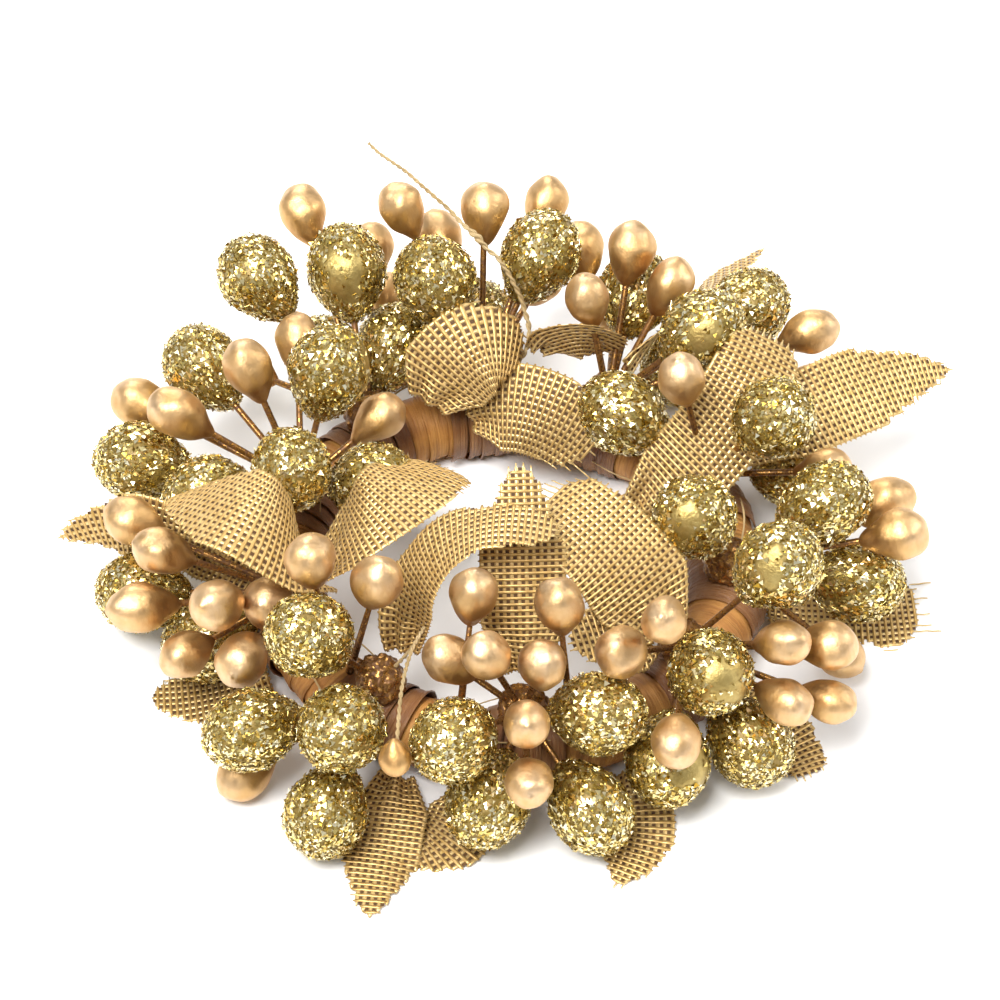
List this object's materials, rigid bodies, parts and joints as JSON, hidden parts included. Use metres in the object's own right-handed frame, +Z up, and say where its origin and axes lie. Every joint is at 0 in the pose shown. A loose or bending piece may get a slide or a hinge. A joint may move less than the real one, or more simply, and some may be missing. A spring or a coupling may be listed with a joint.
{
  "type": "mini wreath",
  "caption": "Small gold wreath: sprays of glittered foam berries, satin drop pearls and mesh ribbon leaves on wires, bound round a bast-wrapped ring with an open middle.",
  "frame": {"origin": "middle of the ring, on the plane the ring stands on", "axes": "+Z up out of the table, -Y towards the front, +X towards the long ribbon leaf on the right"},
  "size_m": [0.1231, 0.112, 0.0356],
  "materials": {
    "glitter_crust": "coarse gold glitter over gold paint",
    "satin_gold": "satin champagne gold lacquer, darker at the neck",
    "gold_mesh_ribbon": "open plain weave of metallic yarn",
    "wound_fibre": "dry bast fibre",
    "bast_strip": "glossy striated bast",
    "wrapped_stem": "coppery brown tape",
    "straw_twine": "twisted straw-coloured yarn",
    "hoop_wire": "plain drawn wire"
  },
  "bodies": {
    "wreath": {"wire_hoop": "hoop_wire", "fibre_ring": "wound_fibre", "bast_bindings": "bast_strip", "stem_wraps": "wrapped_stem", "twine_tail": "straw_twine", "bead_thread": "straw_twine", "thread_bead": "satin_gold", "back_left_glitter_berries": "glitter_crust", "back_left_pearls": "satin_gold", "back_left_stems": "wrapped_stem", "back_glitter_berries": "glitter_crust", "back_pearls": "satin_gold", "back_stems": "wrapped_stem", "back_right_glitter_berries": "glitter_crust", "back_right_pearls": "satin_gold", "back_right_stems": "wrapped_stem", "right_back_glitter_berries": "glitter_crust", "right_back_pearls": "satin_gold", "right_back_stems": "wrapped_stem", "right_glitter_berries": "glitter_crust", "right_pearls": "satin_gold", "right_stems": "wrapped_stem", "right_front_glitter_berries": "glitter_crust", "right_front_pearls": "satin_gold", "right_front_stems": "wrapped_stem", "front_glitter_berries": "glitter_crust", "front_pearls": "satin_gold", "front_stems": "wrapped_stem", "left_front_glitter_berries": "glitter_crust", "left_front_pearls": "satin_gold", "left_front_stems": "wrapped_stem", "left_glitter_berries": "glitter_crust", "left_pearls": "satin_gold", "left_stems": "wrapped_stem", "left_back_glitter_berries": "glitter_crust", "left_back_pearls": "satin_gold", "left_back_stems": "wrapped_stem", "leaf_back_right_tip": "gold_mesh_ribbon", "leaf_right_fold": "gold_mesh_ribbon", "leaf_right_long": "gold_mesh_ribbon", "leaf_back_fold": "gold_mesh_ribbon", "leaf_back_frayed": "gold_mesh_ribbon", "leaf_back_narrow": "gold_mesh_ribbon", "leaf_left_inner": "gold_mesh_ribbon", "leaf_left_broad": "gold_mesh_ribbon", "leaf_left_long": "gold_mesh_ribbon", "leaf_left_low": "gold_mesh_ribbon", "leaf_front_curl": "gold_mesh_ribbon", "leaf_front_upright": "gold_mesh_ribbon", "leaf_front_right_broad": "gold_mesh_ribbon", "leaf_front_right_inner": "gold_mesh_ribbon", "leaf_right_frayed": "gold_mesh_ribbon", "leaf_right_low": "gold_mesh_ribbon", "leaf_front_right_low": "gold_mesh_ribbon", "leaf_front_left_low": "gold_mesh_ribbon", "leaf_left_front_low": "gold_mesh_ribbon"},
    "pearl_1": {"posable_pearl_1": "satin_gold"},
    "pearl_2": {"posable_pearl_2": "satin_gold"},
    "pearl_3": {"posable_pearl_3": "satin_gold"},
    "pearl_4": {"posable_pearl_4": "satin_gold"}
  },
  "joints": [
    {"name": "pearl_1_bend", "type": "hinge", "parent": "wreath", "child": "pearl_1", "pos_m": [-0.02364, -0.01847, 0.01], "axis": [0.6157, -0.788, 0], "range_deg": [-15, 0]},
    {"name": "pearl_2_bend", "type": "hinge", "parent": "wreath", "child": "pearl_2", "pos_m": [-0.02084, -0.02158, 0.01], "axis": [0.7193, -0.6947, 0], "range_deg": [-10, 2]},
    {"name": "pearl_3_bend", "type": "hinge", "parent": "wreath", "child": "pearl_3", "pos_m": [-0.00624, -0.02934, 0.01], "axis": [0.9781, -0.2079, 0], "range_deg": [-8, 0]},
    {"name": "pearl_4_bend", "type": "hinge", "parent": "wreath", "child": "pearl_4", "pos_m": [0.00827, -0.02884, 0.01], "axis": [0.9613, 0.2756, 0], "range_deg": [-16, 2]}
  ]
}
